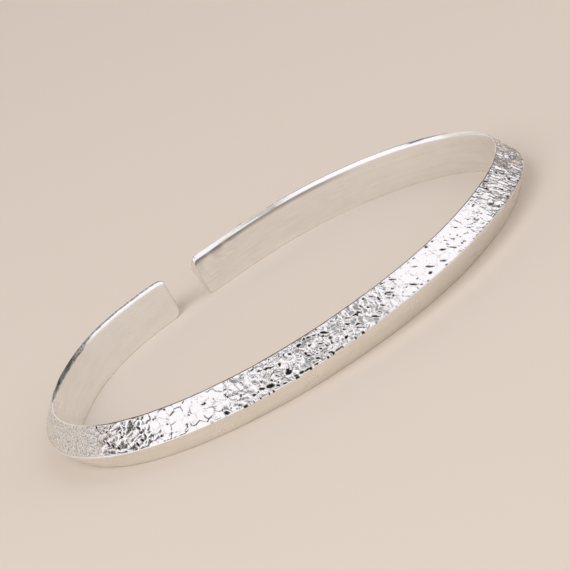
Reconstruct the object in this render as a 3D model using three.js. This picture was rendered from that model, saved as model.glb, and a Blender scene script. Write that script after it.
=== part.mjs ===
// Oval cuff bangle: one bar of silver with a wedge section, bent into an oval that stops at a small gap.
// Millimetres, +Z up. The bangle lies on its lower edge, with its front towards -Y and its gap towards +Y.
// The origin is on the surface it lies on, under the middle of its box.
import * as THREE from 'three';

// Inner oval, seen from above: radius = MEAN_RADIUS + the sum of its waves, at an angle from +X.
const MEAN_RADIUS = 25.8;
const OVAL_WAVES = [
  { lobes: 2, cosine: 4.02, sine: -0.04 },  // wider from side to side than from front to back
  { lobes: 3, cosine: 0.15, sine: 0 },      // the right bend is a little fuller than the left
  { lobes: 4, cosine: 0.38, sine: 0.19 },   // straighter runs between the tighter bends
  { lobes: 5, cosine: -0.11, sine: -0.23 }, // the two ends run nearly straight
  { lobes: 6, cosine: 0.13, sine: -0.06 },
];

const FOOT_DEPTH = 2.42;  // from the level that the section is measured from down to its foot
const GAP_HALF_ANGLE = THREE.MathUtils.degToRad(6);
const GAP_ANGLE = Math.PI / 2;

// The section, looking along the bar: "out" is the distance outwards from the inner oval and "up" is the
// height above FOOT_DEPTH. It changes slowly round the oval, as a hand-forged bar does.
//   angle: in degrees from +X
//   lean: how far the inner wall leans out at its top, and in at its foot
//   topUp: the top of the inner wall
//   lip: the highest corner, where the inner wall's bevelled lip meets the hammered facet
//   ridge: the crest between the hammered facet and the plain facet below it
//   landOut: the outer side of the flat land that the bangle lies on
const COLUMNS = ['angle', 'lean', 'topUp', 'lipOut', 'lipUp', 'ridgeOut', 'ridgeUp', 'landOut'];
const SECTIONS = [
  [-90, 0.18, 2.34, 0.36, 3.26, 3.07, 0.82, 0.45],
  [-45, 0.22, 2.34, 0.48, 3.36, 2.82, 0.62, 0.55],
  [0, 0.05, 2.32, 0.30, 3.02, 2.50, -0.10, 1.20],
  [45, 0.02, 2.30, 0.28, 2.84, 2.72, 0.25, 1.20],
  [90, 0.14, 2.14, 0.34, 2.74, 2.95, 1.00, 0.60],
  [135, 0.24, 2.30, 0.46, 3.02, 2.90, 1.00, 0.45],
  [180, 0.28, 2.50, 0.56, 3.12, 2.59, 0.17, 0.55],
  [225, 0.05, 2.38, 0.24, 2.92, 2.77, 0.12, 0.70],
].map((row) => Object.fromEntries(COLUMNS.map((name, i) => [name, row[i]])));

const LIP_BULGE = 0.05;       // how far the bevelled lip stands off its own chord
const LIP_STEPS = 3;
const RIDGE_ROUNDING = 0.22;  // length taken off each facet at the ridge
const LAND_CHAMFER = 0.14;    // at both sides of the flat land

// Rounded corners of the two blunt ends, the left one first: length along the bar and depth into it.
const END_CORNERS = [
  {
    top: { length: 1.3, depth: 0.6 },
    foot: { length: 1.2, depth: 1.2 },
    ridge: { length: 0.6, depth: 0.6 },
  },
  {
    top: { length: 0.45, depth: 0.45 },
    foot: { length: 0.5, depth: 0.5 },
    ridge: { length: 0.6, depth: 0.6 },
  },
];
const END_LENGTH = Math.max(...END_CORNERS.flatMap(Object.values).map(({ length }) => length));
const END_STEPS = 5;
const PATH_STEPS = 120;

/** Radius of the inner oval and its change with angle. */
function ovalRadius(angle) {
  let radius = MEAN_RADIUS;
  let slope = 0;
  for (const { lobes, cosine, sine } of OVAL_WAVES) {
    const c = Math.cos(lobes * angle);
    const s = Math.sin(lobes * angle);
    radius += cosine * c + sine * s;
    slope += lobes * (sine * c - cosine * s);
  }
  return { radius, slope };
}

/** A point of the inner oval and the level direction that points out of the oval there. */
function ovalFrame(angle) {
  const { radius, slope } = ovalRadius(angle);
  const radial = new THREE.Vector2(Math.cos(angle), Math.sin(angle));
  const along = new THREE.Vector2(-radial.y, radial.x);
  const tangent = along.multiplyScalar(radius).addScaledVector(radial, slope).normalize();
  return {
    point: radial.multiplyScalar(radius),
    outward: new THREE.Vector2(tangent.y, -tangent.x),
  };
}

/** One named size of the section at an angle, from a smooth closed curve through the table's rows. */
function sectionSize(name, angle) {
  const count = SECTIONS.length;
  const first = THREE.MathUtils.degToRad(SECTIONS[0].angle);
  const turned = THREE.MathUtils.euclideanModulo(angle - first, 2 * Math.PI);
  const place = turned / (2 * Math.PI) * count;
  const row = Math.floor(place);
  const t = place - row;
  const [a, b, c, d] = [-1, 0, 1, 2].map((step) => SECTIONS[(row + step + count) % count][name]);
  return b + t * (c - a + t * (2 * a - 5 * b + 4 * c - d + t * (3 * (b - c) + d - a))) / 2;
}

/** A point on the way from one point to another, a given length from the first. */
function towards(from, to, length) {
  return from.clone().lerp(to, length / from.distanceTo(to));
}

/** Points of a lip that bulges a little off the chord from one point to another. */
function bulgingLip(from, to) {
  const chord = to.clone().sub(from);
  const normal = new THREE.Vector2(-chord.y, chord.x).normalize();
  return Array.from({ length: LIP_STEPS + 1 }, (_, i) => {
    const t = i / LIP_STEPS;
    return from.clone().addScaledVector(chord, t).addScaledVector(normal, LIP_BULGE * Math.sin(Math.PI * t));
  });
}

/** The section's outline at an angle, as (out, up) points from the inner wall's foot up and round. */
function sectionOutline(angle) {
  const size = (name) => sectionSize(name, angle);
  const foot = new THREE.Vector2(-size('lean'), -FOOT_DEPTH);
  const top = new THREE.Vector2(size('lean'), size('topUp'));
  const lip = new THREE.Vector2(size('lipOut'), size('lipUp'));
  const ridge = new THREE.Vector2(size('ridgeOut'), size('ridgeUp'));
  const land = new THREE.Vector2(size('landOut'), -FOOT_DEPTH);
  return [
    towards(foot, top, LAND_CHAMFER),
    ...bulgingLip(top, lip),
    towards(ridge, lip, RIDGE_ROUNDING),
    towards(ridge, land, RIDGE_ROUNDING),
    towards(land, ridge, LAND_CHAMFER),
    towards(land, foot, LAND_CHAMFER),
    towards(foot, land, LAND_CHAMFER),
  ];
}

/** How much a rounded corner takes off at a distance from the end face. */
function cornerLoss({ length, depth }, distance) {
  const inside = Math.max(1 - distance / length, 0);
  return depth * (1 - Math.sqrt(1 - inside * inside));
}

/** The outline at a place, drawn in by the rounded corners of the nearer end. */
function roundedOutline({ angle, distance, corners }) {
  const outline = sectionOutline(angle);
  const top = Math.max(...outline.map((p) => p.y));
  const foot = Math.min(...outline.map((p) => p.y));
  const ridge = Math.max(...outline.map((p) => p.x));
  const topScale = 1 - cornerLoss(corners.top, distance) / top;
  const footScale = 1 + cornerLoss(corners.foot, distance) / foot;
  const ridgeScale = 1 - cornerLoss(corners.ridge, distance) / ridge;
  return outline.map((p) => new THREE.Vector2(
    p.x > 0 ? p.x * ridgeScale : p.x,
    p.y > 0 ? p.y * topScale : p.y * footScale,
  ));
}

/** Places along the bar: each one's angle, its distance to the nearer end face and that end's corners. */
function barPlaces() {
  const start = GAP_ANGLE + GAP_HALF_ANGLE;
  const end = GAP_ANGLE + 2 * Math.PI - GAP_HALF_ANGLE;
  const [startCorners, endCorners] = END_CORNERS;
  const { radius } = ovalRadius(GAP_ANGLE);
  const distances = Array.from({ length: END_STEPS }, (_, i) => (
    END_LENGTH * (1 - Math.cos((i / END_STEPS) * (Math.PI / 2)))
  ));
  const opening = distances.map((distance) => (
    { angle: start + distance / radius, distance, corners: startCorners }
  ));
  const closing = distances.map((distance) => (
    { angle: end - distance / radius, distance, corners: endCorners }
  ));
  const margin = END_LENGTH / radius;
  const middle = Array.from({ length: PATH_STEPS + 1 }, (_, i) => (
    {
      angle: THREE.MathUtils.lerp(start + margin, end - margin, i / PATH_STEPS),
      distance: END_LENGTH,
      corners: startCorners,
    }
  ));
  return [...opening, ...middle, ...closing.reverse()];
}

/** A closed mesh through one ring of points for each place, with a flat face at both ends. */
function barGeometry() {
  const places = barPlaces();
  const outlines = places.map(roundedOutline);
  const rings = places.map(({ angle }, ring) => {
    const { point, outward } = ovalFrame(angle);
    return outlines[ring].map((p) => {
      const level = point.clone().addScaledVector(outward, p.x);
      return new THREE.Vector3(level.x, level.y, p.y);
    });
  });
  const perRing = rings[0].length;
  const index = [];
  for (let ring = 0; ring + 1 < rings.length; ring += 1) {
    for (let i = 0; i < perRing; i += 1) {
      const a = ring * perRing + i;
      const b = ring * perRing + ((i + 1) % perRing);
      index.push(a, b, a + perRing, b, b + perRing, a + perRing);
    }
  }
  for (const [a, b, c] of THREE.ShapeUtils.triangulateShape(outlines[0], [])) {
    index.push(a, b, c);
  }
  const lastRing = (rings.length - 1) * perRing;
  for (const [a, b, c] of THREE.ShapeUtils.triangulateShape(outlines.at(-1), [])) {
    index.push(lastRing + c, lastRing + b, lastRing + a);
  }
  const geometry = new THREE.BufferGeometry().setFromPoints(rings.flat());
  geometry.setIndex(index);
  geometry.computeVertexNormals();
  return geometry;
}

const geometry = barGeometry();
geometry.computeBoundingBox();
const middle = geometry.boundingBox.getCenter(new THREE.Vector3());
geometry.translate(-middle.x, -middle.y, -geometry.boundingBox.min.z);

const silver = new THREE.MeshStandardMaterial({ color: 0xd9d3ca, roughness: 0.35, metalness: 1 });
const band = new THREE.Mesh(geometry, silver);
band.name = 'cuff_band';

const bangle = new THREE.Group();
bangle.add(band);
export default bangle;
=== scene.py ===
"""Looks of the silver cuff bangle: one forged band, hammered above its ridge and satin elsewhere.

Lengths are in millimetres until a mesh, lamp or camera is made, and metres from there on.
The bangle lies on its lower edge, with its front towards -Y and its gap towards +Y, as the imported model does.
"""

import math

import bpy
import numpy as np
from mathutils import Matrix, Vector


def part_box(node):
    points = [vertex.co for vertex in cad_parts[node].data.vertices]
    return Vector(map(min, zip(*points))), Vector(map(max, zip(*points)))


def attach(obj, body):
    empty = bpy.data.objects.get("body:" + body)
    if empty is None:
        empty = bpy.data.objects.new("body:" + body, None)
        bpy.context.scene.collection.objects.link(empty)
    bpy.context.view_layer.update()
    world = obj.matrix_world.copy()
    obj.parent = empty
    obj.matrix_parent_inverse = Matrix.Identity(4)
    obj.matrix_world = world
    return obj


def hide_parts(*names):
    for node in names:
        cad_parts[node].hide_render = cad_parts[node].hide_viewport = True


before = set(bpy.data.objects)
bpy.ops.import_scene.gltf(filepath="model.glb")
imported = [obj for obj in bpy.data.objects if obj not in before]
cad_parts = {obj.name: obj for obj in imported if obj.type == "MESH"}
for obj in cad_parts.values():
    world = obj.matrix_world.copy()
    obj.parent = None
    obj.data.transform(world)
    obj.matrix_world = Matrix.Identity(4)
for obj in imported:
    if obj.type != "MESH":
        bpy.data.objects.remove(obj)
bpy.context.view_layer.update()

MM = 0.001
NODE = "cuff_band"

# ---- The band's form, as in the model that carries it --------------------------------------------------

# Inner oval, seen from above: radius = MEAN_RADIUS + the sum of its waves, at an angle from +X.
MEAN_RADIUS = 25.8
OVAL_WAVES = (  # lobes, cosine, sine
    (2, 4.02, -0.04),
    (3, 0.15, 0.0),
    (4, 0.38, 0.19),
    (5, -0.11, -0.23),
    (6, 0.13, -0.06),
)
FOOT_DEPTH = 2.42  # from the level that the section is measured from down to its foot
GAP_ANGLE = math.pi / 2
GAP_HALF_ANGLE = math.radians(6)

# The section every 45 degrees from the front's middle, as distances out of the inner oval and up from the
# level that lies FOOT_DEPTH above its foot. The inner wall leans from -lean at its foot to lean at its top,
# and the land is the foot's outer edge.
SECTION_START = math.radians(-90)
SECTIONS = {
    "lean": (0.18, 0.22, 0.05, 0.02, 0.14, 0.24, 0.28, 0.05),
    "top_up": (2.34, 2.34, 2.32, 2.30, 2.14, 2.30, 2.50, 2.38),
    "lip_out": (0.36, 0.48, 0.30, 0.28, 0.34, 0.46, 0.56, 0.24),
    "lip_up": (3.26, 3.36, 3.02, 2.84, 2.74, 3.02, 3.12, 2.92),
    "ridge_out": (3.07, 2.82, 2.50, 2.72, 2.95, 2.90, 2.59, 2.77),
    "ridge_up": (0.82, 0.62, -0.10, 0.25, 1.00, 1.00, 0.17, 0.12),
    "land_out": (0.45, 0.55, 1.20, 1.20, 0.60, 0.45, 0.55, 0.70),
}
LIP_CROWN = 0.05  # how far the bevelled lip's crown stands off its own chord

# Rounded corners of the two ends, the left one first: length along the band and depth into it.
END_TOP = ((1.3, 0.6), (0.45, 0.45))
END_FOOT = ((1.2, 1.2), (0.5, 0.5))
END_RIDGE = ((0.6, 0.6), (0.6, 0.6))
END_BEVEL = ((0.22, 0.22), (0.16, 0.16))
END_LENGTH = 1.3  # of the stretch at each end whose rings are set closer for its corners

# ---- How finely the band is meshed ---------------------------------------------------------------------

# Angle along the band and the distance between rings there, in millimetres: finest where the front is.
RING_STEPS = ((96, 0.16), (155, 0.16), (170, 0.082), (345, 0.082), (362, 0.16), (444, 0.16))
LENGTH_SAMPLES = 6000  # places where the band's length is measured
FACET_MIDDLE = 1.7     # how far outside the inner oval the hammered facet's middle is
COARSE_EVERY = 5       # the smooth faces have one ring for this many of the facet's
END_STEPS = 12         # rings round each end's corners

# Columns across the faces, and round the section's corners.
FACET_COLUMNS = 48
WALL_COLUMNS = 10
LIP_COLUMNS = 3
UNDERCUT_COLUMNS = 7
FOOT_CORNER = (0.12, 3)  # length and number of columns
THROAT_CORNER = (0.10, 2)
CROWN_CORNER = (0.2, 4)
LIP_CORNER = (0.10, 3)
RIDGE_CORNER = (0.12, 4)
RIDGE_CORNER_PER_RIM = 0.4  # how much longer the ridge's corner is for each millimetre of its smooth rim
HAMMERED_CREST = 3          # columns of the ridge's corner that belong to the hammered facet

# How uneven the forged edges are.
LIP_WANDER = (0.03, 0.025)  # out, up
RIDGE_WANDER = 0.04
RIDGE_DROP = 0.05           # how far below the section's corner the ridge lies on average

# ---- The hammered facet's relief -----------------------------------------------------------------------

SEED = 7

# How it was struck, along the band. The first five say how much there is, with 1 for fully, of the broad
# flat blows, the crumpled metal between them, the pits, the lines round the blows, and the fine frosting.
# Then come how far the crumples are drawn out across the facet, the width of the smooth rim beside the
# ridge, how deep the ridge is bitten, how dark the line along it is, with tarnish and painted shade, and how
# far the painted dark reflection on the lip reaches in from its outer edge, as a share of the lip.
HAMMERING = (
    ("angle", "blows", "crumple", "pits", "lines", "frost", "drawn", "rim", "bites", "ridge_dark", "edge_shade"),
    (96, 0.8, 0.6, 0.4, 0.6, 0.2, 0.0, 0.10, 0.04, 0.10, 0.35),
    (126, 0.8, 0.6, 0.3, 0.5, 0.3, 0.0, 0.12, 0.03, 0.10, 0.35),
    (133, 0.7, 0.5, 0.3, 0.5, 0.4, 0.0, 0.14, 0.03, 0.10, 0.90),
    (145, 0.5, 0.4, 0.2, 0.4, 0.6, 0.0, 0.20, 0.02, 0.00, 0.90),
    (158, 0.3, 0.3, 0.1, 0.2, 1.0, 0.0, 0.30, 0.01, 0.00, 0.60),
    (163, 0.2, 0.2, 0.1, 0.2, 1.0, 0.0, 0.34, 0.01, 0.00, 0.10),
    (168, 0.2, 0.2, 0.1, 0.4, 1.0, 0.0, 0.34, 0.01, 0.00, -0.20),
    (187, 0.3, 0.3, 0.1, 0.6, 0.9, 0.0, 0.34, 0.01, 0.00, -0.20),
    (191, 0.7, 0.9, 0.2, 0.3, 0.3, 0.0, 0.30, 0.01, 0.00, 0.00),
    (199, 0.9, 0.9, 0.2, 0.5, 0.1, 0.0, 0.15, 0.01, 0.00, 0.12),
    (203, 0.7, 0.2, 0.1, 1.0, 0.0, 0.0, 0.06, 0.01, 0.05, 0.15),
    (216, 0.8, 0.2, 0.3, 1.0, 0.0, 0.0, 0.05, 0.02, 0.10, 0.15),
    (221, 0.9, 0.5, 0.7, 0.8, 0.0, 0.0, 0.02, 0.07, 0.10, 0.15),
    (242, 1.0, 0.9, 1.15, 0.6, 0.0, 0.0, 0.02, 0.08, 0.10, 0.15),
    (254, 0.9, 0.9, 1.15, 0.7, 0.0, 0.0, 0.03, 0.04, 0.20, 0.15),
    (262, 0.7, 0.5, 0.9, 1.0, 0.0, 0.0, 0.05, 0.01, 0.25, 0.15),
    (270, 0.4, 0.1, 0.5, 0.8, 0.0, 0.0, 0.05, 0.01, 0.25, 0.15),
    (312, 0.3, 0.1, 0.3, 0.7, 0.0, 0.0, 0.06, 0.01, 0.35, 0.15),
    (316, 0.7, 0.9, 0.5, 0.6, 0.0, 1.0, 0.05, 0.06, 0.40, 0.10),
    (328, 0.6, 0.8, 0.4, 0.6, 0.0, 0.9, 0.06, 0.04, 0.40, 0.05),
    (334, 0.6, 0.8, 0.4, 0.5, 0.0, 0.8, 0.06, 0.03, 0.05, 0.00),
    (350, 0.8, 0.8, 0.5, 0.5, 0.1, 0.5, 0.08, 0.03, 0.05, -0.20),
    (382, 0.9, 0.7, 0.5, 0.7, 0.1, 0.0, 0.08, 0.04, 0.20, -0.20),
    (392, 0.9, 0.7, 0.5, 0.7, 0.1, 0.0, 0.08, 0.04, 0.20, 0.20),
    (415, 0.9, 0.7, 0.5, 0.7, 0.1, 0.0, 0.08, 0.04, 0.20, 0.10),
    (444, 0.9, 0.7, 0.5, 0.7, 0.1, 0.0, 0.10, 0.04, 0.10, 0.08),
)
BLOW_SPACING = 1.0
BLOW = {"softness": 0.2, "tilt": 0.05, "hollow": 0.06}
CRUMPLE_SPACING = 0.5
CRUMPLE = {"softness": 0.22, "tilt": 0.17, "hollow": 0.16}
BLOW_MARGIN = 0.05    # the least that a blow's middle keeps from its cell's sides, as a share of the cell
SHALLOWEST = 0.3      # depth of the shallowest blow, as a share of the deepest's
UNEVEN_LEVELS = 0.3   # how much the blows' levels differ, as a share of their depth
FAR = 9.0             # more cells than any blow that counts is away
WANDER = 0.2          # how far the blows stray from their cells
WANDER_SIZE = 0.9     # and the size of the noise that moves them

# Where the crumples are drawn out, they lie this much closer along the band, lean this much, and are this
# much longer across it.
DRAWN_CLOSER = 0.9
DRAWN_LEAN = 0.75
DRAWN_LONGER = 1.3

# Fine curved lines: their slant from along the band, how much longer than broad their loops are, their
# width, and the size of the noise that they follow.
WORM_SLANT = 40
WORM_STRETCH = 2.2
WORM_WIDTH = 0.10
WORM_CURL = 0.4

LINE_WIDTH = 0.085
CREST_WIDTH = 0.06
FURROW_WIDTH = 0.07
CRUMPLE_LEAST = 0.2   # depth of the crumples outside their patches, as a share of that inside
DRAWN_PATCHES = 0.5   # how much the patches grow where the crumples are drawn out

# Patches in which a thing shows: their size in millimetres, their level and their contrast.
CRUMPLE_PATCHES = (2.2, 0.5, 1.6)
LINE_PATCHES = (0.9, 0.95, 1.3)
WORM_PATCHES = (0.6, 0.0, 1.6)
FURROW_PATCHES = (0.7, 0.6, 1.8)
# patches of painted shade on the inner wall, below the lip near the right end
SHADE_PATCHES = (1.1, 0.4, 1.5)

# Coarse and fine size of a noise in millimetres, and the share of the fine one.
PIT_NOISE = ((0.5, 0.22), 0.35)
GRAIN_NOISE = ((0.42, 0.24), 0.6)
EDGE_NOISE = ((2.3, 0.7), 0.5)
BITE_NOISE = ((0.55, 0.25), 0.5)

# A pit starts where its noise is above PIT_LEVEL, less PITTING where the table's pits are 1, and is at its
# deepest PIT_SLOPE further up. Its rim is PIT_RIM below the start.
PIT_LEVEL = 0.78
PITTING = 0.25
PIT_SLOPE = 0.14
PIT_RIM = 0.06

# Reach is 1 on the oval that a dint's length and width give. Its wall starts at DINT_START and drops over
# DINT_WALL, and its rim lies at DINT_RIM. The outline is uneven by a reach, over a size in millimetres.
DINT_START, DINT_WALL = 1.2, 0.5
DINT_RIM, DINT_RIM_WIDTH = 1.45, 0.25
DINT_UNEVEN, DINT_UNEVEN_SIZE = 0.3, 0.3

# How far the parts of the relief stand off the facet, in millimetres, and how dark the deep ones are, from
# 0 to 1, with tarnish and painted shade.
CREST_HEIGHT = 0.03
RIM_HEIGHT = 0.03
GRAIN_HEIGHT = 0.03
FURROW_DEPTH, FURROW_DARK = 0.04, 0.9
LINE_DEPTH, LINE_DARK = 0.02, 0.37
WORM_DEPTH, WORM_DARK = 0.02, 0.35
PIT_DEPTH = 0.13
FACET_SINK = 0.02      # how far the whole facet lies below the plane between its edges
EDGE_FADE = 0.10       # how wide a strip beside the lip stays unstruck
RIM_FADE = 0.02        # and beside the ridge's smooth rim

# The ridge's bites. The last four say where they are: the shares of a rough noise and of a patchy one, the
# patches' size, and a level.
BITE_DEPTH = 2          # times the table's measure
BITE_WIDTH = 0.2        # how far they reach up the facet
BITE_DARKENS = 0.08     # depth of one that is fully dark
BITE_ROUGH = 2.2
BITE_PATCHES = 0.8
BITE_PATCH_SIZE = 1.9
BITE_LEVEL = -0.15

# The inner edge of the painted dark reflection on the lip: how uneven it is and over how long, and how soft.
EDGE_SHADE_UNEVEN, EDGE_SHADE_UNEVEN_SIZE, EDGE_SHADE_SOFTNESS = 0.12, 0.8, 0.12

# Painted shade on the inner wall: how dark and how wide it is, and from which angle it grows, over how many
# degrees.
END_LINE_DARK, END_LINE_WIDTH = 0.5, 0.14
LIP_LINE_DARK, LIP_LINE_WIDTH, LIP_LINE_START, LIP_LINE_RISE = 0.85, 0.12, 388, 16
SHADE_PATCH_DARK, SHADE_PATCH_REACH, SHADE_PATCH_START, SHADE_PATCH_RISE = 0.6, 0.9, 408, 34

# The deepest single dints: angle along the band, share of the way from the lip to the ridge, length and
# width in millimetres, and how far the length is turned from along the band towards the ridge, in degrees.
DINTS = (
    (190.8, 0.50, 0.6, 0.22, 70),
    (191.8, 0.62, 0.7, 0.22, 50),
    (193.0, 0.73, 0.7, 0.25, 45),
    (194.3, 0.82, 0.6, 0.22, 40),
    (195.2, 0.50, 0.5, 0.25, 20),
    (198.6, 0.84, 0.6, 0.28, 60),
    (199.6, 0.74, 0.5, 0.30, 20),
    (200.4, 0.62, 0.5, 0.25, 70),
    (199.2, 0.34, 0.6, 0.30, 40),
    (217.5, 0.92, 0.6, 0.40, 30),
    (224.0, 0.80, 0.4, 0.30, 30),
    (226.0, 0.75, 0.6, 0.30, 30),
    (228.0, 0.80, 0.9, 0.50, 15),
    (229.5, 0.90, 0.4, 0.25, 30),
    (229.5, 0.28, 1.4, 0.20, 15),
    (230.5, 0.65, 0.6, 0.14, 50),
    (231.0, 0.96, 0.5, 0.20, 10),
    (233.0, 0.72, 0.7, 0.50, 0),
    (234.0, 0.92, 0.5, 0.20, 10),
    (235.5, 0.25, 0.5, 0.25, 35),
    (235.5, 0.94, 0.6, 0.30, 0),
    (237.0, 0.97, 0.9, 0.25, 0),
    (238.5, 0.16, 0.6, 0.30, 0),
    (239.0, 0.60, 0.5, 0.25, 20),
    (239.5, 0.97, 0.6, 0.20, 0),
    (240.5, 0.84, 0.5, 0.25, 35),
    (241.5, 0.10, 0.5, 0.20, 10),
    (243.0, 0.14, 0.5, 0.20, 10),
    (243.0, 0.48, 0.5, 0.20, 35),
    (244.0, 0.92, 0.5, 0.20, 20),
    (245.5, 0.25, 0.8, 0.30, 35),
    (246.0, 0.97, 0.9, 0.25, 0),
    (250.0, 0.55, 0.4, 0.25, 40),
    (251.5, 0.45, 0.5, 0.25, 40),
    (252.5, 0.30, 0.5, 0.18, 40),
    (253.5, 0.80, 0.9, 0.20, 40),
    (256.0, 0.35, 0.5, 0.25, 40),
    (258.5, 0.80, 0.9, 0.28, 45),
    (259.5, 0.10, 0.3, 0.20, 45),
    (261.5, 0.16, 0.6, 0.18, 45),
    (262.0, 0.65, 0.5, 0.24, 45),
    (266.0, 0.45, 0.8, 0.20, 45),
    (269.5, 0.16, 0.8, 0.18, 45),
    (272.5, 0.75, 0.9, 0.24, 45),
    (274.0, 0.92, 0.3, 0.22, 45),
    (277.0, 0.30, 0.6, 0.11, 45),
    (280.0, 0.65, 1.0, 0.22, 45),
    (284.0, 0.80, 0.7, 0.22, 45),
    (287.0, 0.52, 0.8, 0.24, 45),
    (289.5, 0.68, 0.9, 0.20, 45),
    (292.0, 0.48, 0.5, 0.14, 45),
    (293.5, 0.80, 0.4, 0.11, 45),
    (296.0, 0.28, 0.5, 0.13, 45),
    (298.5, 0.60, 0.6, 0.12, 45),
    (301.0, 0.40, 0.4, 0.14, 45),
    (301.5, 0.64, 0.4, 0.14, 45),
    (305.0, 0.50, 0.4, 0.12, 45),
    (309.5, 0.06, 0.5, 0.20, 55),
    (312.0, 0.05, 0.7, 0.20, 55),
    (312.5, 0.68, 0.8, 0.15, 55),
    (314.0, 0.95, 0.5, 0.20, 55),
    (314.5, 0.06, 0.7, 0.26, 55),
    (315.0, 0.25, 0.8, 0.24, 55),
    (317.0, 0.97, 0.7, 0.22, 55),
    (317.5, 0.45, 0.7, 0.20, 55),
    (317.5, 0.05, 0.6, 0.25, 55),
    (318.0, 0.65, 0.5, 0.25, 55),
    (319.5, 0.95, 0.5, 0.20, 55),
    (322.0, 0.65, 0.8, 0.13, 55),
    (323.5, 0.25, 0.5, 0.20, 55),
    (324.5, 0.40, 0.7, 0.20, 55),
)


def oval_radius(angle):
    """Radius of the inner oval and its change with angle."""
    radius = np.full_like(angle, MEAN_RADIUS)
    slope = np.zeros_like(angle)
    for lobes, cosine, sine in OVAL_WAVES:
        c, s = np.cos(lobes * angle), np.sin(lobes * angle)
        radius += cosine * c + sine * s
        slope += lobes * (sine * c - cosine * s)
    return radius, slope


def oval_frame(angle):
    """Points of the inner oval and the level directions that point out of it."""
    radius, slope = oval_radius(angle)
    radial = np.stack([np.cos(angle), np.sin(angle)], -1)
    along = np.stack([-radial[:, 1], radial[:, 0]], -1)
    tangent = along * radius[:, None] + radial * slope[:, None]
    tangent /= np.linalg.norm(tangent, axis=1, keepdims=True)
    return radial * radius[:, None], np.stack([tangent[:, 1], -tangent[:, 0]], -1)


def section_size(name, angle):
    """One size of the section at each angle, from a smooth closed curve through its table."""
    table = np.array(SECTIONS[name])
    place = np.mod(angle - SECTION_START, 2 * math.pi) / (2 * math.pi) * len(table)
    row = np.floor(place).astype(int)
    t = place - row
    a, b, c, d = (table[(row + step) % len(table)] for step in (-1, 0, 1, 2))
    return b + t * (c - a + t * (2 * a - 5 * b + 4 * c - d + t * (3 * (b - c) + d - a))) / 2


def corner_loss(length, depth, distance):
    """How much a rounded corner takes off at a distance from the end face."""
    inside = np.maximum(1 - distance / length, 0)
    return depth * (1 - np.sqrt(1 - inside * inside))


def band_places():
    """Angle and distance from both end faces of every ring, and the indices of the coarse rings."""
    start = GAP_ANGLE + GAP_HALF_ANGLE
    end = GAP_ANGLE + 2 * math.pi - GAP_HALF_ANGLE
    angles = np.linspace(start, end, LENGTH_SAMPLES)
    points, outward = oval_frame(angles)
    facet_middle = points + outward * FACET_MIDDLE
    steps = np.linalg.norm(np.diff(facet_middle, axis=0), axis=1)
    travelled = np.concatenate([[0], np.cumsum(steps)])
    length = travelled[-1]
    rounding = END_LENGTH * (1 - np.cos(np.linspace(0, math.pi / 2, END_STEPS + 1)[:-1]))
    inner = np.linspace(END_LENGTH, length - END_LENGTH, LENGTH_SAMPLES)
    step_angles, step_sizes = np.array(RING_STEPS).T
    pace = 1 / np.interp(np.degrees(np.interp(inner, travelled, angles)), step_angles, step_sizes)
    rings = np.concatenate([[0], np.cumsum((pace[1:] + pace[:-1]) / 2 * np.diff(inner))])
    fine_steps = COARSE_EVERY * round(rings[-1] / COARSE_EVERY)
    along = np.concatenate([
        rounding,
        np.interp(np.linspace(0, rings[-1], fine_steps + 1), rings, inner),
        (length - rounding)[::-1],
    ])
    coarse = np.concatenate([
        np.arange(END_STEPS),
        np.arange(END_STEPS, END_STEPS + fine_steps + 1, COARSE_EVERY),
        np.arange(END_STEPS + fine_steps + 1, len(along)),
    ])
    angle = np.interp(along, travelled, angles)
    return angle, along, length - along, coarse


def fillet(before, corner, after, length, steps):
    """Columns of a soft corner that starts and ends a length away from the sharp one."""
    def towards(point):
        way = point - corner
        return corner + way * (length / np.linalg.norm(way, axis=1, keepdims=True))
    start, end = towards(before), towards(after)
    return [
        start * (1 - t) ** 2 + corner * (2 * t * (1 - t)) + end * t ** 2
        for t in np.linspace(0, 1, steps + 1)
    ]


def between(start, end, steps):
    """Columns strictly between two columns, evenly spaced."""
    return [start + (end - start) * (i / steps) for i in range(1, steps)]


def ease(value):
    """0 to 1 with a soft start and end."""
    t = np.clip(value, 0, 1)
    return t * t * (3 - 2 * t)


# ---- Relief of the hammered facet ----------------------------------------------------------------------

# Added to a place on the facet so that no cell of a noise has a negative number, as it is or turned.
CLEAR_OF_ZERO = 5
CLEAR_OF_TURN = 150
NOISE_SCALE = 1.5  # brings a noise's heights to between about -1 and 1


def soft_noise(along, across, size, rng):
    """Smooth random heights from about -1 to 1 that change over a size in millimetres."""
    x, y = along / size + 1, across / size + 1
    column, row = np.floor(x).astype(int), np.floor(y).astype(int)
    turn = rng.uniform(0, 2 * math.pi, (column.max() + 2, row.max() + 2))
    total = 0
    for right in (0, 1):
        for up in (0, 1):
            dx, dy = x - column - right, y - row - up
            way = turn[column + right, row + up]
            share = (1 - ease(np.abs(dx))) * (1 - ease(np.abs(dy)))
            total = total + share * (dx * np.cos(way) + dy * np.sin(way))
    return total * NOISE_SCALE


def layered_noise(along, across, sizes, fine_share, rng):
    """Smooth random heights of a coarse size, with a share of finer ones on top."""
    coarse, fine = sizes
    return soft_noise(along, across, coarse, rng) + fine_share * soft_noise(along, across, fine, rng)


def patchy(along, across, patches, rng, more=0.0):
    """Soft patches, from 0 to 1: a level of 0.5 covers half, and contrast sharpens their edges."""
    size, level, contrast = patches
    return ease(level + more + contrast * soft_noise(along, across, size, rng))


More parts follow.
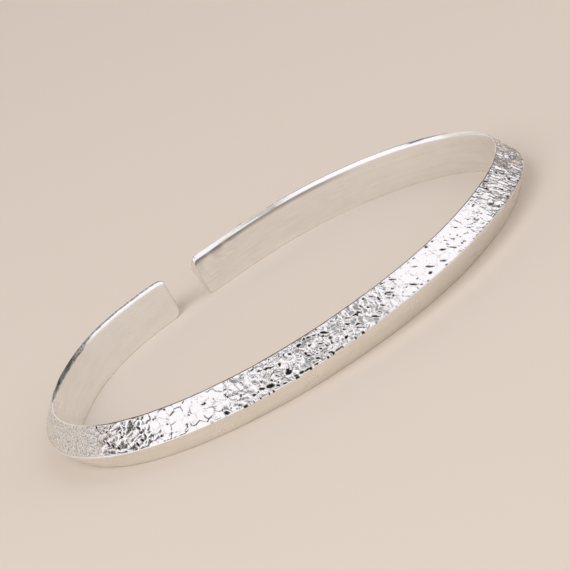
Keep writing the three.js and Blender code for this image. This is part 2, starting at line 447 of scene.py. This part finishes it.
def blows(along, across, spacing, rng, softness, tilt, hollow):
    """Heights left by overlapping hammer blows, and how far each point is from the line between two of them.

    Each blow is a shallow bowl with a tilt and a level of its own, in a cell that is one spacing wide.
    Softness is how far it blends into the next ones, and tilt and hollow are its slope and its depth, all as
    shares of the spacing. Both results are in millimetres. The second is the difference between the distances
    to the two nearest blows' middles, so it is 0 on the line between them.
    """
    x, y = along / spacing, across / spacing
    column, row = np.floor(x).astype(int), np.floor(y).astype(int)
    count = (column.max() + 5, row.max() + 5)
    centre = rng.uniform(BLOW_MARGIN, 1 - BLOW_MARGIN, count + (2,))
    slope = rng.normal(0, tilt, count + (2,))
    bowl = rng.uniform(SHALLOWEST, 1.0, count) * hollow
    level = rng.normal(0, UNEVEN_LEVELS, count) * hollow
    height, weight = np.zeros_like(x), np.zeros_like(x)
    nearest, second = np.full_like(x, FAR), np.full_like(x, FAR)
    for right in range(-2, 3):
        for up in range(-2, 3):
            at = (column + right + 2, row + up + 2)
            dx = x - column - right - centre[at][..., 0]
            dy = y - row - up - centre[at][..., 1]
            squared = dx * dx + dy * dy
            reach = np.sqrt(squared)
            second = np.minimum(second, np.maximum(nearest, reach))
            nearest = np.minimum(nearest, reach)
            share = np.exp(-squared / softness ** 2)
            own = level[at] + bowl[at] * (squared * 2 - 0.5) + slope[at][..., 0] * dx + slope[at][..., 1] * dy
            height += share * own
            weight += share
    return height / np.maximum(weight, 1e-9) * spacing, (second - nearest) * spacing


def hammering(angle):
    """Every measure of the hammering table at each angle."""
    names, *rows = HAMMERING
    table = np.array(rows).T
    return {name: np.interp(np.degrees(angle), table[0], column) for name, column in zip(names, table)}


def turned(along, across, slant):
    """Distances along and beside a line that is turned from along the band towards the ridge, in degrees."""
    c, s = math.cos(math.radians(slant)), math.sin(math.radians(slant))
    return along * c + across * s, across * c - along * s


def stripe(distance, width):
    """1 along a line, falling softly to 0 beside it."""
    return np.exp(-(distance / width) ** 2)


def dints(angle, along, across, width, rng):
    """How deep in a single dint each point is, and how far up its raised rim, from 0 to 1."""
    depth, raised = np.zeros_like(along), np.zeros_like(along)
    uneven = DINT_UNEVEN * soft_noise(along, across, DINT_UNEVEN_SIZE, rng)
    for place, share, length, breadth, slant in DINTS:
        x = along - np.interp(math.radians(place), angle[:, 0], along[:, 0])
        lengthwise, sideways = turned(x, across - share * width, slant)
        reach = np.hypot(lengthwise / length, sideways / breadth) * 2 + uneven
        depth = np.maximum(depth, ease((DINT_START - reach) / DINT_WALL))
        raised = np.maximum(raised, stripe(reach - DINT_RIM, DINT_RIM_WIDTH))
    return depth, raised


def hammered_relief(angle, along, across, width):
    """Height of the facet above its plane, then how dark (tarnish and painted shade), frosted and crumpled each
    point is, from 0 to 1.
    """
    rng = np.random.default_rng(SEED)
    struck = hammering(angle)

    # Broad flat blows, and crumpled metal in patches between them. Past the right bend's start the crumples
    # are drawn out across the facet.
    x = along + WANDER * soft_noise(along, across, WANDER_SIZE, rng) + CLEAR_OF_ZERO
    y = across + WANDER * soft_noise(along, across, WANDER_SIZE, rng) + CLEAR_OF_ZERO
    plate, plate_gap = blows(x, y, BLOW_SPACING, rng, **BLOW)
    drawn = struck["drawn"]
    beside = across - width / 2
    closer = DRAWN_CLOSER * np.cumsum(drawn * np.gradient(along, axis=0), axis=0)
    fold, fold_gap = blows(
        x + closer - DRAWN_LEAN * drawn * beside,
        y + (1 / (1 + DRAWN_LONGER * drawn) - 1) * beside,
        CRUMPLE_SPACING, rng, **CRUMPLE)
    patches = patchy(along, across, CRUMPLE_PATCHES, rng, more=DRAWN_PATCHES * drawn)

    # Broken lines round the blows, and fine curved lines here and there.
    line = stripe(plate_gap, LINE_WIDTH) * patchy(along, across, LINE_PATCHES, rng) * struck["lines"]
    lengthwise, sideways = turned(along, across, WORM_SLANT)
    lengthwise = lengthwise / WORM_STRETCH + CLEAR_OF_ZERO
    curving = soft_noise(lengthwise, sideways + CLEAR_OF_TURN, WORM_CURL, rng)
    worm = stripe(curving, WORM_WIDTH) * patchy(along, across, WORM_PATCHES, rng) * struck["lines"]

    # Raised creases between the crumples, and furrows where they are drawn out.
    crest = stripe(fold_gap, CREST_WIDTH) * patches * struck["crumple"]
    furrow = stripe(fold_gap, FURROW_WIDTH) * patchy(along, across, FURROW_PATCHES, rng) * drawn

    # Scattered pits and the charted dints, both with raised rims, and the grain of the frosting.
    pit_field = layered_noise(along, across, *PIT_NOISE, rng) + PITTING * struck["pits"] - PIT_LEVEL
    dint, raised = dints(angle, along, across, width, rng)
    pit = np.maximum(ease(pit_field / PIT_SLOPE), dint)
    raised = np.maximum(stripe(pit_field + PIT_RIM, PIT_RIM) * struck["pits"], raised)
    grain = layered_noise(along, across, *GRAIN_NOISE, rng)

    folded = CRUMPLE_LEAST + (1 - CRUMPLE_LEAST) * patches
    height = plate * struck["blows"] + fold * struck["crumple"] * folded
    height = height + CREST_HEIGHT * crest + RIM_HEIGHT * raised + GRAIN_HEIGHT * grain * struck["frost"]
    height = height - FURROW_DEPTH * furrow - LINE_DEPTH * line - WORM_DEPTH * worm - PIT_DEPTH * pit
    window = ease(across / EDGE_FADE) * ease((width - across) / (struck["rim"] + RIM_FADE))
    # Tarnish and painted shade in the pits, lines and furrows
    cavity = np.clip(pit + LINE_DARK * line + WORM_DARK * worm + FURROW_DARK * furrow, 0, 1) * window
    frost = np.broadcast_to(struck["frost"], along.shape)
    return height * window - FACET_SINK, cavity, frost, struck["crumple"] * patches


# ---- The band's mesh -----------------------------------------------------------------------------------

HAMMERED, SATIN, LIP = range(3)
# cavity holds tarnish and painted shade; frost and crumple are the hammering's own marks
MARKINGS = ("cavity", "frost", "crumple")  # attributes of the mesh, from 0 to 1


class Columns:
    """The section's columns in order round the outline.

    Each has its rings' points, whether it keeps every ring or only the coarse ones, the finish of the faces
    between it and the next, and its markings, with tarnish and painted shade among them.
    """

    def __init__(self, coarse):
        self.coarse = coarse
        self.points, self.fine, self.finish = [], [], []
        self.markings = {name: [] for name in MARKINGS}

    def add(self, columns, finish, fine=False, **markings):
        for i, column in enumerate(columns):
            self.points.append(column)
            self.fine.append(fine)
            self.finish.append(finish)
            for name, values in self.markings.items():
                values.append(markings[name][i] if name in markings else np.zeros(len(column)))


def nicked(along, rng, amount):
    """Uneven offset of a forged edge along the band, in millimetres."""
    return amount * layered_noise(along, np.zeros_like(along), *EDGE_NOISE, rng)


def ridge_bites(angle, along, rng):
    """How deep the ridge is bitten at each ring, in millimetres."""
    across = np.zeros_like(along)
    rough = layered_noise(along, across, *BITE_NOISE, rng)
    patches = soft_noise(along, across, BITE_PATCH_SIZE, rng)
    deep = ease(BITE_ROUGH * rough + BITE_PATCHES * patches + BITE_LEVEL)
    return hammering(angle)["bites"] * BITE_DEPTH * deep


def lip_edge_shade(angle, along, bevel, rng):
    """How much painted dark reflection each column of the bevelled lip has, from 0 to 1, from its outer edge
    inwards.
    """
    widths = [np.linalg.norm(column - bevel[-1], axis=1) for column in bevel]
    uneven = EDGE_SHADE_UNEVEN * soft_noise(along, np.zeros_like(along), EDGE_SHADE_UNEVEN_SIZE, rng)
    reach = hammering(angle)["edge_shade"] + uneven
    edge_shade = []
    for width in widths:
        from_edge = width / widths[0]
        edge_shade.append(ease((reach - from_edge) / EDGE_SHADE_SOFTNESS + 0.5))
    return edge_shade


def throat_shade(angle, along, wall, throat):
    """How much painted shade each column of the inner wall has, for the dark reflections that it shows.

    A dark line runs along the left end's edge. Near the right end there are a dark line under the lip and dark
    patches below.
    """
    degrees = np.degrees(angle)
    towards_end = ease((degrees - LIP_LINE_START) / LIP_LINE_RISE)
    at_end = ease((degrees - SHADE_PATCH_START) / SHADE_PATCH_RISE)
    end_line = END_LINE_DARK * stripe(along, END_LINE_WIDTH)
    darkening = []
    for column in wall:
        below = np.linalg.norm(column - throat, axis=1)
        shade_patch = patchy(along, below, SHADE_PATCHES, np.random.default_rng(SEED + 2))
        lip_line = LIP_LINE_DARK * towards_end * stripe(below, LIP_LINE_WIDTH)
        darkening.append(end_line + lip_line + SHADE_PATCH_DARK * at_end * shade_patch * np.exp(-below / SHADE_PATCH_REACH))
    return darkening


def band_columns(angle, along, coarse):
    """Every column of the section, as (out, up) points for each ring."""
    rng = np.random.default_rng(SEED + 1)
    size = {name: section_size(name, angle) for name in SECTIONS}
    sole_up = np.full_like(angle, -FOOT_DEPTH)
    foot = np.stack([-size["lean"], sole_up], -1)
    top = np.stack([size["lean"], size["top_up"]], -1)
    lip_out, lip_up = (size[name] + nicked(along, rng, wander)
                       for name, wander in zip(("lip_out", "lip_up"), LIP_WANDER))
    lip = np.stack([lip_out, lip_up], -1)
    ridge = np.stack([size["ridge_out"], size["ridge_up"]], -1)
    land = np.stack([size["land_out"], sole_up], -1)
    rise = lip - top
    off = np.stack([-rise[:, 1], rise[:, 0]], -1) / np.linalg.norm(rise, axis=1, keepdims=True)
    crown = (top + lip) / 2 + off * LIP_CROWN
    down = (land - ridge) / np.linalg.norm(land - ridge, axis=1, keepdims=True)
    ridge = ridge + down * (RIDGE_DROP + nicked(along, rng, RIDGE_WANDER))[:, None]

    columns = Columns(coarse)
    wall = fillet(land, foot, top, *FOOT_CORNER)
    throat = fillet(foot, top, crown, *THROAT_CORNER)
    wall += between(wall[-1], throat[0], WALL_COLUMNS)
    columns.add(wall, SATIN, cavity=throat_shade(angle, along, wall, throat[0]))
    roll = fillet(top, crown, lip, *CROWN_CORNER)
    edge = fillet(crown, lip, ridge, *LIP_CORNER)
    columns.add(throat[:-1], SATIN, cavity=throat_shade(angle, along, throat[:-1], throat[0]))
    bevel = throat[-1:] + between(throat[-1], roll[0], LIP_COLUMNS) + roll
    bevel += between(roll[-1], edge[0], LIP_COLUMNS) + edge
    # Painted dark reflection along the lip's outer edge
    edge_shade = lip_edge_shade(angle, along, bevel, rng)
    columns.add(bevel[:-1], LIP, cavity=edge_shade[:-1])
    columns.add(bevel[-1:], HAMMERED, cavity=edge_shade[-1:])

    rim = hammering(angle)["rim"][:, None]
    crest_length, crest_steps = RIDGE_CORNER
    crest = fillet(lip, ridge, land, crest_length + RIDGE_CORNER_PER_RIM * rim, crest_steps)
    chord = crest[0] - edge[-1]
    width = np.linalg.norm(chord, axis=1)
    normal = np.stack([-chord[:, 1], chord[:, 0]], -1) / width[:, None]
    share = np.arange(1, FACET_COLUMNS) / FACET_COLUMNS
    across = share[None, :] * width[:, None]
    height, cavity, frost, crumple = hammered_relief(
        angle[:, None], np.repeat(along[:, None], len(share), 1), across, width[:, None])
    bite = ridge_bites(angle, along, rng)
    # The bites are darkened with tarnish and painted shade
    bite_dark = ease(bite / BITE_DARKENS)
    near = stripe((1 - share)[None, :] * width[:, None], BITE_WIDTH)
    height -= bite[:, None] * near
    cavity = np.maximum(cavity, bite_dark[:, None] * near)
    facet = [
        column + normal * height[:, i, None]
        for i, column in enumerate(between(edge[-1], crest[0], FACET_COLUMNS))
    ]
    columns.add(facet, HAMMERED, fine=True, cavity=cavity.T, frost=frost.T, crumple=crumple.T)
    inward = down - normal
    inward /= np.linalg.norm(inward, axis=1, keepdims=True)
    crest = [column + inward * bite[:, None] for column in crest]
    # Tarnish and painted shade along the ridge
    ridge_dark = np.maximum(bite_dark, hammering(angle)["ridge_dark"])
    columns.add(crest[:HAMMERED_CREST], HAMMERED, fine=True, cavity=[ridge_dark] * HAMMERED_CREST)
    columns.add(crest[HAMMERED_CREST:], SATIN, fine=True)
    sole = fillet(ridge, land, foot, *FOOT_CORNER)
    columns.add(between(crest[-1], sole[0], UNDERCUT_COLUMNS), SATIN)
    columns.add(sole, SATIN)
    return columns


def end_losses(corners, ends):
    """What the two ends' corners take off at each ring."""
    return sum(corner_loss(*corner, distance) for corner, distance in zip(corners, ends))[:, None]


def rounded_ends(points, ends):
    """The columns drawn in by the rounded corners and the small bevel of the two ends."""
    outline = np.stack(points, 1)
    out, up = outline[..., 0], outline[..., 1]
    crest, top, foot = out.max(1, keepdims=True), up.max(1, keepdims=True), up.min(1, keepdims=True)
    crest_scale = 1 - end_losses(END_RIDGE, ends) / crest
    top_scale = 1 - end_losses(END_TOP, ends) / top
    foot_scale = 1 + end_losses(END_FOOT, ends) / foot
    outline = np.stack([
        np.where(out > 0, out * crest_scale, out),
        np.where(up > 0, up * top_scale, up * foot_scale),
    ], -1)
    middle = outline.mean(1, keepdims=True)
    way = outline - middle
    bevel = end_losses(END_BEVEL, ends)[..., None]
    return middle + way * (1 - bevel / np.linalg.norm(way, axis=2, keepdims=True))


def band_faces(columns, rings):
    """Vertex numbers of each column's rings, then the faces and their finishes."""
    number, total = [], 0
    for fine in columns.fine:
        column = np.full(rings, -1)
        used = np.arange(rings) if fine else columns.coarse
        column[used] = total + np.arange(len(used))
        total += len(used)
        number.append(column)
    faces, finishes = [], []
    for i, left in enumerate(number):
        j = (i + 1) % len(number)
        right = number[j]
        both_fine = columns.fine[i] and columns.fine[j]
        stops = np.arange(rings) if both_fine else columns.coarse
        made = []
        for low, high in zip(stops[:-1], stops[1:]):
            face = [left[low], right[low]]
            if columns.fine[j] and not both_fine:
                face += list(right[low + 1:high])
            face += [right[high], left[high]]
            if columns.fine[i] and not both_fine:
                face += list(left[low + 1:high][::-1])
            made.append([int(v) for v in face])
        faces += made
        finishes += [columns.finish[i]] * len(made)
    faces.append([int(column[0]) for column in number][::-1])
    faces.append([int(column[-1]) for column in number])
    finishes += [SATIN, SATIN]
    return number, faces, finishes


def make_band():
    """The whole cuff as one closed mesh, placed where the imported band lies."""
    angle, along, to_go, coarse = band_places()
    columns = band_columns(angle, along, coarse)
    outline = rounded_ends(columns.points, (along, to_go))
    points, outward = oval_frame(angle)
    level = points[:, None, :] + outward[:, None, :] * outline[..., :1]
    solid = np.concatenate([level, outline[..., 1:]], -1)

    low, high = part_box(NODE)
    middle = (solid.reshape(-1, 3).min(0) + solid.reshape(-1, 3).max(0)) / 2
    shift = np.array([(low.x + high.x) / 2 / MM - middle[0], (low.y + high.y) / 2 / MM - middle[1],
                      low.z / MM - solid[..., 2].min()])
    solid = (solid + shift) * MM

    number, faces, finishes = band_faces(columns, len(angle))
    steps = np.linalg.norm(np.diff(outline, axis=1, prepend=outline[:, :1]), axis=2)
    around = np.cumsum(steps, axis=1)
    vertices, place = [], []
    for i, column in enumerate(number):
        used = column >= 0
        vertices.append(solid[used, i])
        place.append(np.stack([along[used], around[used, i], np.zeros(used.sum())], -1))

    mesh = bpy.data.meshes.new("hammered_cuff")
    mesh.from_pydata(np.concatenate(vertices).tolist(), [], faces)
    mesh.polygons.foreach_set("material_index", finishes)
    mesh.polygons.foreach_set("use_smooth", [True] * (len(faces) - 2) + [False] * 2)
    made = mesh.attributes.new("band_place", "FLOAT_VECTOR", "POINT")
    made.data.foreach_set("vector", np.concatenate(place).astype(np.float32).ravel())
    for name, values in columns.markings.items():
        made = mesh.attributes.new(name, "FLOAT", "POINT")
        kept = [value[column >= 0] for value, column in zip(values, number)]
        made.data.foreach_set("value", np.concatenate(kept).astype(np.float32))
    mesh.update()
    band = bpy.data.objects.new("hammered_cuff", mesh)
    bpy.context.collection.objects.link(band)
    return band


# ---- Finishes ------------------------------------------------------------------------------------------


class Nodes:
    """Short names for building the nodes of one material or of the world."""

    MIX_MASK, MIX_BELOW, MIX_ABOVE, MIXED = 0, 6, 7, 2  # places of a colour mix's sockets

    def __init__(self, owner):
        owner.use_nodes = True
        self.tree = owner.node_tree

    def new(self, kind, **settings):
        node = self.tree.nodes.new(kind)
        for name, value in settings.items():
            setattr(node, name, value)
        return node

    def link(self, source, target):
        self.tree.links.new(source, target)

    def attribute(self, name, output):
        return self.new("ShaderNodeAttribute", attribute_name=name).outputs[output]

    def noise(self, vector, scale=1.0, detail=2.0, roughness=0.5):
        node = self.new("ShaderNodeTexNoise")
        node.inputs["Scale"].default_value = scale
        node.inputs["Detail"].default_value = detail
        node.inputs["Roughness"].default_value = roughness
        self.link(vector, node.inputs["Vector"])
        return node.outputs["Fac"]

    def stretched(self, vector, scale):
        node = self.new("ShaderNodeMapping")
        node.inputs["Scale"].default_value = scale
        self.link(vector, node.inputs["Vector"])
        return node.outputs["Vector"]

    def ranged(self, value, low, high, new_low, new_high):
        """The value moved from the range low to high into a new one, and held at its ends."""
        node = self.new("ShaderNodeMapRange")
        for name, number in zip(("From Min", "From Max", "To Min", "To Max"), (low, high, new_low, new_high)):
            node.inputs[name].default_value = number
        self.link(value, node.inputs["Value"])
        return node.outputs["Result"]

    def math(self, operation, first, second):
        node = self.new("ShaderNodeMath", operation=operation)
        for socket, value in zip(node.inputs, (first, second)):
            if isinstance(value, (int, float)):
                socket.default_value = value
            else:
                self.link(value, socket)
        return node.outputs[0]

    def vector_math(self, operation, first, second):
        node = self.new("ShaderNodeVectorMath", operation=operation)
        self.link(first, node.inputs[0])
        node.inputs[1].default_value = second
        return node.outputs["Value" if operation == "DOT_PRODUCT" else "Vector"]

    def eased(self, value, low, high):
        """0 below low and 1 above high, or the other way round, with a soft change between."""
        node = self.new("ShaderNodeMapRange", interpolation_type="SMOOTHSTEP")
        node.inputs["From Min"].default_value = low
        node.inputs["From Max"].default_value = high
        self.link(value, node.inputs["Value"])
        return node.outputs["Result"]

    def painted(self, below, mask, colour):
        """One colour laid over another where the mask is 1."""
        node = self.new("ShaderNodeMix", data_type="RGBA")
        self.link(mask, node.inputs[self.MIX_MASK])
        if isinstance(below, tuple):
            node.inputs[self.MIX_BELOW].default_value = (*below, 1)
        else:
            self.link(below, node.inputs[self.MIX_BELOW])
        node.inputs[self.MIX_ABOVE].default_value = (*colour, 1)
        return node.outputs[self.MIXED]

    def ramp(self, value, low, high):
        """The colour between low, where the value is 0, and high, where it is 1."""
        node = self.new("ShaderNodeValToRGB")
        node.color_ramp.elements[0].color = (*low, 1)
        node.color_ramp.elements[1].color = (*high, 1)
        self.link(value, node.inputs["Fac"])
        return node.outputs["Color"]

    def bump(self, height, distance, below=None):
        node = self.new("ShaderNodeBump")
        node.inputs["Distance"].default_value = distance
        self.link(height, node.inputs["Height"])
        if below is not None:
            self.link(below, node.inputs["Normal"])
        return node.outputs["Normal"]


def metal(name):
    """A new metal, its nodes and its shader's inputs."""
    material = bpy.data.materials.new(name)
    n = Nodes(material)
    shader = n.tree.nodes["Principled BSDF"]
    shader.inputs["Metallic"].default_value = 1.0
    return material, n, shader.inputs


SILVER = (0.95, 0.94, 0.93)
# The darkest the satin gets, where shade is painted on the inner wall
SATIN_DARKEST = (0.30, 0.29, 0.28)
SATIN_SILVER = (0.95, 0.935, 0.90)
BURNISHED_SILVER = (0.98, 0.975, 0.975)
# Tarnish and painted shade in the hollows of the hammered facet
TARNISH_AND_SHADE = (0.035, 0.032, 0.03)
# The painted dark reflection along the lip's outer edge
LIP_EDGE_SHADE = (0.11, 0.105, 0.10)

GRAIN = {"scale": 3.6, "detail": 3.0, "roughness": 0.65}  # of the frosting and the stain, per millimetre

# How many features a noise has for each millimetre: along the band, round its section, and off it.
CREASES = (3.0, 4.0, 1.0)
STREAKS = (0.08, 3.5, 0.0)
GRIME = (0.25, 0.9, 0.0)
WEAR_MARKS = (0.9, 3.0, 0.0)
CLOUDS = 0.25

# How a value changes a finish: what it is from and to, and what that becomes. Where the name ends in
# DARKENS, 1 is darkest, and where it ends in BRIGHTNESS, 1 is brightest.
SPECKLE_DARKENS = (0.52, 0.67, 0.0, 0.6)
CAVITY_DARKENS = (0.12, 0.85, 0.0, 1.0)
MOTTLE_DARKENS = (0.35, 0.6, 0.45, 1.0)
STREAK_BRIGHTNESS = (0.25, 0.7, 0.9, 1.0)
GRIME_BRIGHTNESS = (0.3, 0.55, 0.93, 1.0)
UNSHADED_BRIGHTNESS = (0.0, 1.0, 1.0, 0.0)
FROST_ROUGHNESS = (0.0, 1.0, 0.11, 0.2)
CAVITY_ROUGHNESS = (0.0, 1.0, 0.0, 0.35)
STREAK_ROUGHNESS = (0.3, 0.7, 0.34, 0.27)
CLOUD_ROUGHNESS = (0.3, 0.7, -0.03, 0.03)
WEAR_ROUGHNESS = (0.3, 0.7, 0.14, 0.24)
FROST_RELIEF_SHARE = (0.0, 1.0, 0.05, 1.0)

# Depths of the finest relief.
FROST_RELIEF = 0.14 * MM
CREASE_RELIEF = 0.035 * MM
STREAK_RELIEF = 0.002 * MM
WEAR_RELIEF = 0.012 * MM


def hammered_silver():
    """Bright silver, frosted where it was struck lightly, and dark and dull in its pits, with tarnish and
    painted shade.
    """
    material, n, surface = metal("hammered_silver")
    place = n.attribute("band_place", "Vector")
    cavity = n.attribute("cavity", "Fac")
    frost = n.attribute("frost", "Fac")
    grain = n.noise(place, **GRAIN)
    speckle = n.math("MULTIPLY", frost, n.ranged(grain, *SPECKLE_DARKENS))
    # Tarnish and painted shade in the hollows, and the frosting's speckle
    dark = n.math("MAXIMUM", n.ranged(cavity, *CAVITY_DARKENS), speckle)
    n.link(n.ramp(dark, SILVER, TARNISH_AND_SHADE), surface["Base Color"])
    rough = n.math("ADD", n.ranged(frost, *FROST_ROUGHNESS), n.ranged(cavity, *CAVITY_ROUGHNESS))
    n.link(rough, surface["Roughness"])
    frosted = n.math("MULTIPLY", grain, n.ranged(frost, *FROST_RELIEF_SHARE))
    creases = n.noise(n.stretched(place, CREASES), detail=3.0, roughness=0.55)
    creased = n.math("MULTIPLY", creases, n.attribute("crumple", "Fac"))
    folds = n.bump(creased, CREASE_RELIEF)
    n.link(n.bump(frosted, FROST_RELIEF, below=folds), surface["Normal"])
    return material


def satin_silver():
    """Silver drawn through fine abrasive along the band: long faint streaks and a soft gloss."""
    material, n, surface = metal("satin_silver")
    place = n.attribute("band_place", "Vector")
    streaks = n.noise(n.stretched(place, STREAKS), detail=5.0, roughness=0.6)
    clouds = n.noise(place, CLOUDS)
    darkening = n.noise(n.stretched(place, GRIME), detail=4.0, roughness=0.6)
    bright = n.math("MULTIPLY", n.ranged(streaks, *STREAK_BRIGHTNESS), n.ranged(darkening, *GRIME_BRIGHTNESS))
    # Darker where shade is painted on the inner wall
    unshaded = n.ranged(n.attribute("cavity", "Fac"), *UNSHADED_BRIGHTNESS)
    n.link(n.ramp(n.math("MULTIPLY", bright, unshaded), SATIN_DARKEST, SATIN_SILVER), surface["Base Color"])
    rough = n.math("ADD", n.ranged(streaks, *STREAK_ROUGHNESS), n.ranged(clouds, *CLOUD_ROUGHNESS))
    n.link(rough, surface["Roughness"])
    n.link(n.bump(streaks, STREAK_RELIEF), surface["Normal"])
    return material


def burnished_silver():
    """The rolled lip, rubbed brighter than the faces beside it, with a painted dark reflection along its outer
    edge.
    """
    material, n, surface = metal("burnished_silver")
    place = n.attribute("band_place", "Vector")
    edge_shade = n.attribute("cavity", "Fac")
    markings = n.noise(n.stretched(place, WEAR_MARKS), detail=3.0)
    mottle = n.ranged(n.noise(place, **GRAIN), *MOTTLE_DARKENS)
    # Painted dark reflection along the lip's outer edge, mottled
    edge_shaded = n.math("MULTIPLY", edge_shade, mottle)
    n.link(n.ramp(edge_shaded, BURNISHED_SILVER, LIP_EDGE_SHADE), surface["Base Color"])
    n.link(n.ranged(markings, *WEAR_ROUGHNESS), surface["Roughness"])
    n.link(n.bump(markings, WEAR_RELIEF), surface["Normal"])
    return material


# ---- Floor, light and camera ---------------------------------------------------------------------------

FLOOR_SIZE = 6.0  # metres
FLOOR_COLOUR = (0.77, 0.685, 0.592)
FLOOR_ROUGHNESS = 0.9


def make_floor():
    """A plain level floor under the bangle."""
    mesh = bpy.data.meshes.new("floor")
    half = FLOOR_SIZE / 2
    corners = [(-half, -half, 0), (half, -half, 0), (half, half, 0), (-half, half, 0)]
    mesh.from_pydata(corners, [], [(0, 1, 2, 3)])
    floor = bpy.data.objects.new("floor", mesh)
    bpy.context.collection.objects.link(floor)
    material = bpy.data.materials.new("pale_floor")
    surface = Nodes(material).tree.nodes["Principled BSDF"].inputs
    surface["Base Color"].default_value = (*FLOOR_COLOUR, 1)
    surface["Roughness"].default_value = FLOOR_ROUGHNESS
    mesh.materials.append(material)


def direction(azimuth, elevation):
    """Unit vector towards an azimuth, from the front towards +X, and an elevation, in degrees."""
    azimuth, elevation = math.radians(azimuth), math.radians(elevation)
    return Vector((
        math.sin(azimuth) * math.cos(elevation),
        -math.cos(azimuth) * math.cos(elevation),
        math.sin(elevation),
    ))


# The tent round the bangle, painted patch over patch: azimuth from and to, elevation from and to, how
# softly the edges end, all in degrees, and the radiance. The patches have one warm tint.
TENT = (1.04, 1.005, 1.04)  # radiance where no patch is painted
WARM = (1.0, 0.91, 0.82)
BEYOND = 90  # an edge at this elevation or past it is left out
PATCHES = (
    (125, 237, -20, 100, 6, 0.84),  # the warm back of the tent
    (125, 237, 42, 100, 8, 0.22),   # dimmer higher up
    (150, 226, -20, 8, 5, 0.66),    # and a little dimmer near the floor
    (-142, -98, 26, 100, 5, 0.08),  # dark where it meets the left side
    (91, 121, -20, 42, 3, 0.02),    # dark where it meets the right side, with two light strips
    (101, 104, -20, 38, 2, 1.00),
    (113, 118, -20, 38, 2, 0.95),
    (-14, 12, 20, 48, 6, 0.55),     # a dim panel in front
)
# The gray opening overhead: azimuth, elevation, the radius inside which it is full, the radius where it
# ends, and its radiance.
OPENING = (3, 70, 7, 25, (0.27, 0.265, 0.265))
FILL_LAMP = (-58, 40, 0.8, 0.5, 3.4)  # azimuth, elevation, distance and size in metres, radiance


def painted_tent(n):
    """Colour of the tent in every direction, from its patches."""
    towards = n.new("ShaderNodeTexCoord").outputs["Generated"]
    level = n.vector_math("NORMALIZE", n.vector_math("MULTIPLY", towards, (1, 1, 0)), (0, 0, 0))
    height = n.vector_math("DOT_PRODUCT", towards, (0, 0, 1))
    colour = TENT
    for start, end, low, high, soft, radiance in PATCHES:
        middle, half = (start + end) / 2, (end - start) / 2
        beside = n.vector_math("DOT_PRODUCT", level, direction(middle, 0))
        ends = [math.cos(math.radians(half - side * soft / 2)) for side in (-1, 1)]
        mask = n.eased(beside, *ends)
        for edge, way in ((low, 1), (high, -1)):
            if abs(edge) < BEYOND:
                ends = [math.sin(math.radians(edge + side * way * soft / 2)) for side in (-1, 1)]
                mask = n.math("MULTIPLY", mask, n.eased(height, *ends))
        colour = n.painted(colour, mask, tuple(radiance * part for part in WARM))
    azimuth, elevation, inner, outer, gray = OPENING
    near = n.vector_math("DOT_PRODUCT", towards, direction(azimuth, elevation))
    mask = n.eased(n.math("ARCCOSINE", near, 0.0), math.radians(outer), math.radians(inner))
    return n.painted(colour, mask, gray)


def make_studio():
    """The tent, and a lamp that lights the floor without showing in the silver."""
    world = bpy.data.worlds.new("tent")
    n = Nodes(world)
    n.link(painted_tent(n), n.tree.nodes["Background"].inputs["Color"])
    bpy.context.scene.world = world
    azimuth, elevation, distance, size, radiance = FILL_LAMP
    lamp = bpy.data.lights.new("fill_lamp", "AREA")
    lamp.size = size
    lamp.energy = radiance * math.pi * size * size
    fill = bpy.data.objects.new("fill_lamp", lamp)
    facing = direction(azimuth, elevation)
    fill.location = facing * distance
    fill.rotation_euler = facing.to_track_quat("Z", "Y").to_euler()
    fill.visible_camera = False
    fill.visible_glossy = False
    bpy.context.collection.objects.link(fill)


# The camera: the point that it looks at, and from where. Angles are in degrees.
TARGET = Vector((1.56, 2.44, 2.42)) * MM
CAMERA_AZIMUTH = -27.94
CAMERA_ELEVATION = 18.50
CAMERA_ROLL = -27.68
CAMERA_DISTANCE = 298.5 * MM
LENS = 164.2  # millimetres, on this width of sensor
SENSOR_WIDTH = 36
NEAREST = 10 * MM


def make_camera():
    """The scene's camera, at the angle that the sizes above give."""
    camera = bpy.data.cameras.new("camera")
    camera.lens = LENS
    camera.sensor_width = SENSOR_WIDTH
    camera.clip_start = NEAREST
    holder = bpy.data.objects.new("camera", camera)
    bpy.context.collection.objects.link(holder)
    back = direction(CAMERA_AZIMUTH, CAMERA_ELEVATION)
    upright = back.to_track_quat("Z", "Y").to_matrix().to_4x4()
    roll = Matrix.Rotation(math.radians(CAMERA_ROLL), 4, "Z")
    holder.matrix_world = Matrix.Translation(TARGET + back * CAMERA_DISTANCE) @ upright @ roll
    bpy.context.scene.camera = holder


make_camera()
make_floor()
make_studio()
bpy.context.scene.view_settings.view_transform = "Standard"

band = make_band()
for finish in (hammered_silver(), satin_silver(), burnished_silver()):
    band.data.materials.append(finish)
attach(band, "root")
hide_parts(NODE)
